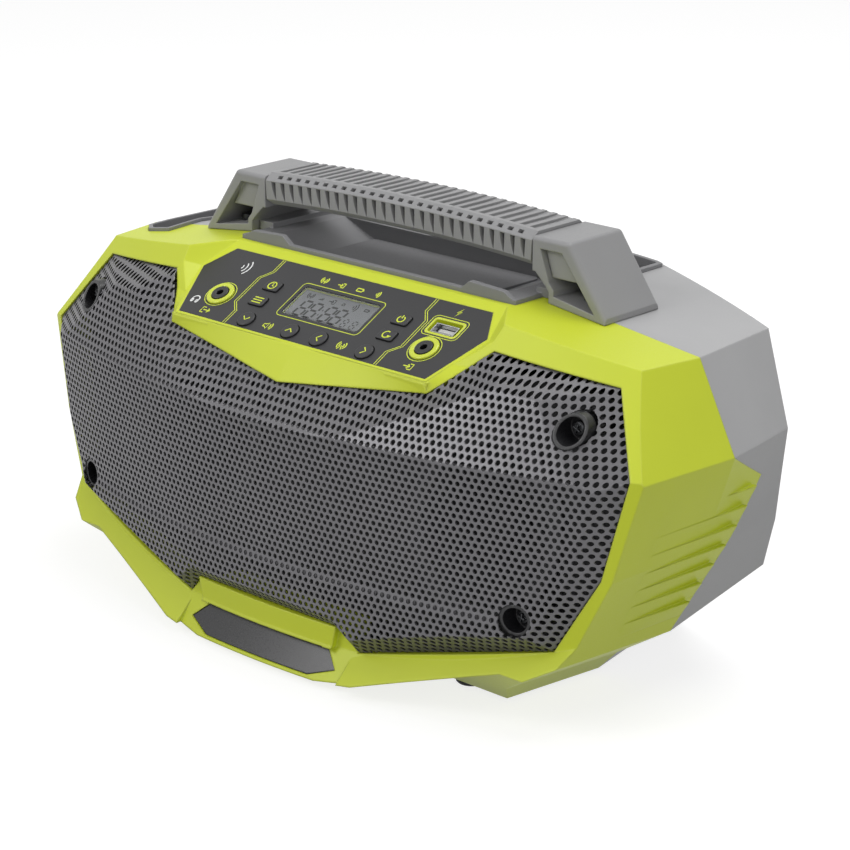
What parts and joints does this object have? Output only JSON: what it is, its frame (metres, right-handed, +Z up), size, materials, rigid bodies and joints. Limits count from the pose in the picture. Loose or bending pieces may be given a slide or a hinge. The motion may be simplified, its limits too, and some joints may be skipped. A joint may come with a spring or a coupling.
{
  "type": "jobsite radio",
  "caption": "Wide jobsite radio: curved grille over speakers, tilted control panel with pressing keys, ribbed carry handle over a device tray, and a rear battery bay.",
  "frame": {"origin": "centre of the radio's outline on the surface that its feet stand on", "axes": "+Z up, -Y out of the grille towards the listener, +X to the listener's right along the radio's width"},
  "size_m": [0.382, 0.1878, 0.2015],
  "materials": {
    "lime_shell": "lime moulded plastic, fine satin grain",
    "grey_shell": "light grey moulded plastic, fine grain",
    "grey_handle": "grey moulded plastic, fine grain",
    "grip_rubber": "grey soft-touch sleeve, matt",
    "tray_grey": "mid grey moulded plastic",
    "mat_rubber": "grey ribbed rubber, matt",
    "grille_steel": "perforated steel, dark silver-grey paint",
    "well_black": "black moulded plastic, semi-gloss",
    "screw_black": "blackened steel screws",
    "overlay_black": "near-black printed film, satin",
    "window_clear": "clear window",
    "display_grey": "reflective liquid-crystal grey",
    "key_black": "near-black soft keys",
    "ring_lime": "lime plastic ring, gloss",
    "jack_metal": "bright plated barrel",
    "socket_steel": "bright rolled steel",
    "tongue_plastic": "white plastic tongue",
    "badge_black": "black plate, semi-gloss",
    "foot_rubber": "black rubber",
    "board_green": "circuit board, green solder mask",
    "part_black": "black moulded components",
    "sink_aluminium": "plain extruded aluminium",
    "core_steel": "laminated steel core",
    "magnet_ferrite": "black ferrite",
    "basket_steel": "pressed steel, dark paint",
    "cone_paper": "black pressed paper cone with rubber surround",
    "blade_brass": "plated brass",
    "baffle_board": "black moulded baffle"
  },
  "bodies": {
    "root": {"antenna_clips": "tongue_plastic", "antenna_rod": "magnet_ferrite", "aux_in_jack": "jack_metal", "aux_in_ring": "ring_lime", "aux_out_jack": "jack_metal", "aux_out_ring": "ring_lime", "badge_plate": "badge_black", "capacitors": "part_black", "case_screws": "screw_black", "device_tray": "tray_grey", "display_backlight": "tongue_plastic", "display_lens": "window_clear", "display_module": "display_grey", "front_frame": "lime_shell", "grille_screws": "screw_black", "grille_wells": "well_black", "handle_bridge": "grey_handle", "handle_grip": "grip_rubber", "handle_screws": "screw_black", "heat_sink": "sink_aluminium", "inlet_pins": "blade_brass", "key_board": "board_green", "key_switches": "part_black", "left_dust_cap": "cone_paper", "left_speaker_basket": "basket_steel", "left_speaker_cone": "cone_paper", "left_speaker_magnet": "magnet_ferrite", "main_board": "board_green", "panel_overlay": "overlay_black", "power_inlet": "part_black", "power_transformer": "core_steel", "rear_housing": "grey_shell", "right_dust_cap": "cone_paper", "right_speaker_basket": "basket_steel", "right_speaker_cone": "cone_paper", "right_speaker_magnet": "magnet_ferrite", "rubber_feet": "foot_rubber", "side_trough": "tray_grey", "speaker_baffle": "baffle_board", "speaker_grille": "grille_steel", "terminal_blades": "blade_brass", "terminal_block": "part_black", "tray_mat": "mat_rubber", "usb_shell": "socket_steel", "usb_tongue": "tongue_plastic", "usb_well": "ring_lime", "wireless_card": "board_green"},
    "volume_down_button": {"volume_down_key": "key_black"},
    "volume_up_button": {"volume_up_key": "key_black"},
    "scan_down_button": {"scan_down_key": "key_black"},
    "scan_up_button": {"scan_up_key": "key_black"},
    "clock_button": {"clock_key": "key_black"},
    "preset_button": {"preset_key": "key_black"},
    "power_button": {"power_key": "key_black"},
    "mode_button": {"mode_key": "key_black"}
  },
  "joints": [
    {"name": "volume_down_press", "type": "slide", "parent": "root", "child": "volume_down_button", "axis": [0, 0.4679, -0.8838], "range_m": [0, 0.0008], "stiffness_N_per_m": 800},
    {"name": "volume_up_press", "type": "slide", "parent": "root", "child": "volume_up_button", "axis": [0, 0.4679, -0.8838], "range_m": [0, 0.0008], "stiffness_N_per_m": 800},
    {"name": "scan_down_press", "type": "slide", "parent": "root", "child": "scan_down_button", "axis": [0, 0.4679, -0.8838], "range_m": [0, 0.0008], "stiffness_N_per_m": 800},
    {"name": "scan_up_press", "type": "slide", "parent": "root", "child": "scan_up_button", "axis": [0, 0.4679, -0.8838], "range_m": [0, 0.0008], "stiffness_N_per_m": 800},
    {"name": "clock_press", "type": "slide", "parent": "root", "child": "clock_button", "axis": [0, 0.4679, -0.8838], "range_m": [0, 0.0008], "stiffness_N_per_m": 800},
    {"name": "preset_press", "type": "slide", "parent": "root", "child": "preset_button", "axis": [0, 0.4679, -0.8838], "range_m": [0, 0.0008], "stiffness_N_per_m": 800},
    {"name": "power_press", "type": "slide", "parent": "root", "child": "power_button", "axis": [0, 0.4679, -0.8838], "range_m": [0, 0.0008], "stiffness_N_per_m": 800},
    {"name": "mode_press", "type": "slide", "parent": "root", "child": "mode_button", "axis": [0, 0.4679, -0.8838], "range_m": [0, 0.0008], "stiffness_N_per_m": 800}
  ]
}
